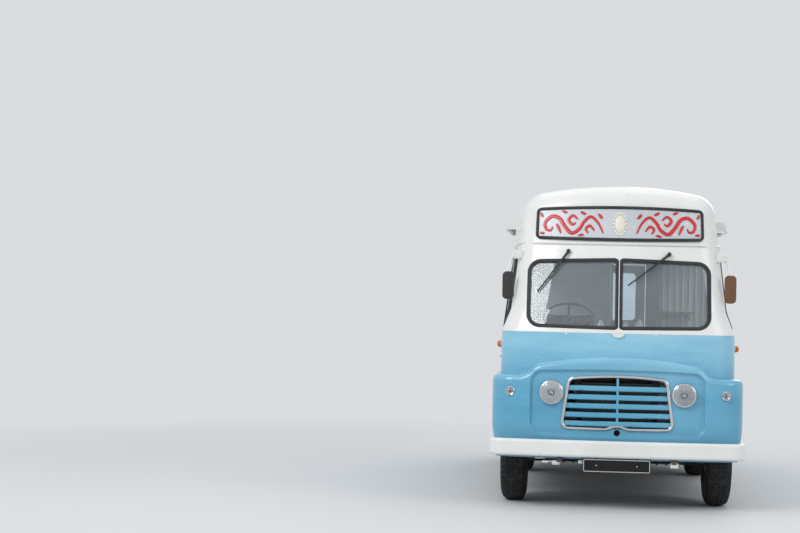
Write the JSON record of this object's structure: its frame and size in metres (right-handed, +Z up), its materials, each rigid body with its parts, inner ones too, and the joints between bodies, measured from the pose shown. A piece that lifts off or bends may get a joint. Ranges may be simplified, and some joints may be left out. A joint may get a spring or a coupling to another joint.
{
  "type": "ice cream truck",
  "caption": "Forward-control ice cream truck, white over light blue, with divided windscreen, bowed nose grille, serving windows with hoods, steering, rolling wheels and opening doors.",
  "frame": {"origin": "on the ground, below the middle of the overall length and width", "axes": "+Z up, -Y towards the front bumper, +X the nearside of the right-hand-drive truck"},
  "size_m": [2.028, 5.1198, 2.6039],
  "materials": {
    "body_blue": "light blue gloss paint, hand-finished, lightly weathered",
    "body_white": "white gloss paint",
    "body_two_tone": "white gloss above the waist, light blue below it",
    "chrome": "bright plated trim, slightly dulled",
    "glass": "clear laminated glass",
    "lamp": "plated rims with clear, red and amber lenses",
    "black_steel": "black chassis paint, dusty",
    "cast_iron": "painted casting",
    "tyre": "dusty black tread",
    "wheel_white": "cream white paint",
    "rubber": "black rubber",
    "plate_black": "blank black plate with a silver edge",
    "sign_silver": "pale grey sign board in a dark frame",
    "exhaust_steel": "rusty steel pipe",
    "floor_grey": "grey floor covering",
    "interior_cream": "pale painted panel",
    "seat_vinyl": "dark vinyl",
    "steering_black": "black rim",
    "stainless": "brushed stainless steel",
    "counter_wood": "varnished wood"
  },
  "bodies": {
    "body": {"nose_panel": "body_blue", "screen_panel": "body_white", "roof": "body_white", "side_panel_left": "body_two_tone", "side_panel_right": "body_two_tone", "rear_panel": "body_two_tone", "glazing": "glass", "sign_panel": "sign_silver", "grille_bars": "body_blue", "grille_surround": "chrome", "headlamps": "lamp", "small_lamps": "lamp", "bumpers": "body_white", "number_plates": "plate_black", "canopies": "body_white", "mirrors": "body_white", "wipers": "black_steel", "floor_pan": "floor_grey", "wheel_housings": "floor_grey", "radiator": "black_steel", "chassis_frame": "black_steel", "engine_block": "cast_iron", "propshaft": "black_steel", "front_axle": "black_steel", "rear_axle": "black_steel", "leaf_springs": "black_steel", "fuel_tank": "black_steel", "exhaust": "exhaust_steel", "steering_column": "black_steel", "dashboard": "interior_cream", "driver_seat": "seat_vinyl", "engine_cover": "floor_grey", "bulkhead": "interior_cream", "ice_cream_machine": "stainless", "counter": "counter_wood"},
    "steer_left": {"knuckle_left": "black_steel"},
    "steer_right": {"knuckle_right": "black_steel"},
    "track_rod": {"tie_rod": "black_steel"},
    "hand_wheel": {"steering_wheel": "steering_black"},
    "left_door": {"door_left": "body_two_tone"},
    "right_door": {"door_right": "body_two_tone"},
    "back_door": {"rear_door": "body_two_tone", "rear_door_glass": "glass"},
    "roll_front_left": {"tyre_front_left": "tyre", "wheel_front_left": "wheel_white"},
    "roll_front_right": {"tyre_front_right": "tyre", "wheel_front_right": "wheel_white"},
    "roll_rear_left": {"tyre_rear_left": "tyre", "wheel_rear_left": "wheel_white"},
    "roll_rear_right": {"tyre_rear_right": "tyre", "wheel_rear_right": "wheel_white"}
  },
  "joints": [
    {"name": "steer_left", "type": "hinge", "parent": "body", "child": "steer_left", "pos_m": [0.7, -1.84, 0.403], "axis": [0, 0, 1], "range_deg": [-32, 32]},
    {"name": "steer_right", "type": "hinge", "parent": "body", "child": "steer_right", "pos_m": [-0.7, -1.84, 0.403], "axis": [0, 0, 1], "range_deg": [-32, 32]},
    {"name": "track_rod_turn", "type": "hinge", "parent": "steer_left", "child": "track_rod", "pos_m": [0.7, -1.67, 0.318], "axis": [0, 0, 1], "range_deg": [-32, 32]},
    {"name": "hand_wheel_turn", "type": "hinge", "parent": "body", "child": "hand_wheel", "pos_m": [-0.401, -1.63, 1.5], "axis": [0, 0.6157, 0.788], "range_deg": [-640, 640]},
    {"name": "left_door_open", "type": "hinge", "parent": "body", "child": "left_door", "pos_m": [1.008, -1.357, 1.2], "axis": [0, 0, -1], "range_deg": [0, 70]},
    {"name": "right_door_open", "type": "hinge", "parent": "body", "child": "right_door", "pos_m": [-1.008, -1.357, 1.2], "axis": [0, 0, 1], "range_deg": [0, 70]},
    {"name": "back_door_open", "type": "hinge", "parent": "body", "child": "back_door", "pos_m": [-0.373, 2.479, 1.3], "axis": [0, 0, 1], "range_deg": [0, 95]},
    {"name": "spin_front_left", "type": "hinge", "parent": "steer_left", "child": "roll_front_left", "pos_m": [0.825, -1.84, 0.403], "axis": [-1, 0, 0], "continuous": true},
    {"name": "spin_front_right", "type": "hinge", "parent": "steer_right", "child": "roll_front_right", "pos_m": [-0.825, -1.84, 0.403], "axis": [-1, 0, 0], "continuous": true},
    {"name": "spin_rear_left", "type": "hinge", "parent": "body", "child": "roll_rear_left", "pos_m": [0.825, 0.903, 0.403], "axis": [-1, 0, 0], "continuous": true},
    {"name": "spin_rear_right", "type": "hinge", "parent": "body", "child": "roll_rear_right", "pos_m": [-0.825, 0.903, 0.403], "axis": [-1, 0, 0], "continuous": true}
  ],
  "couplings": [
    {"joint": "steer_right", "follows": "steer_left", "ratio": 1},
    {"joint": "track_rod_turn", "follows": "steer_left", "ratio": -1},
    {"joint": "hand_wheel_turn", "follows": "steer_left", "ratio": 20}
  ]
}
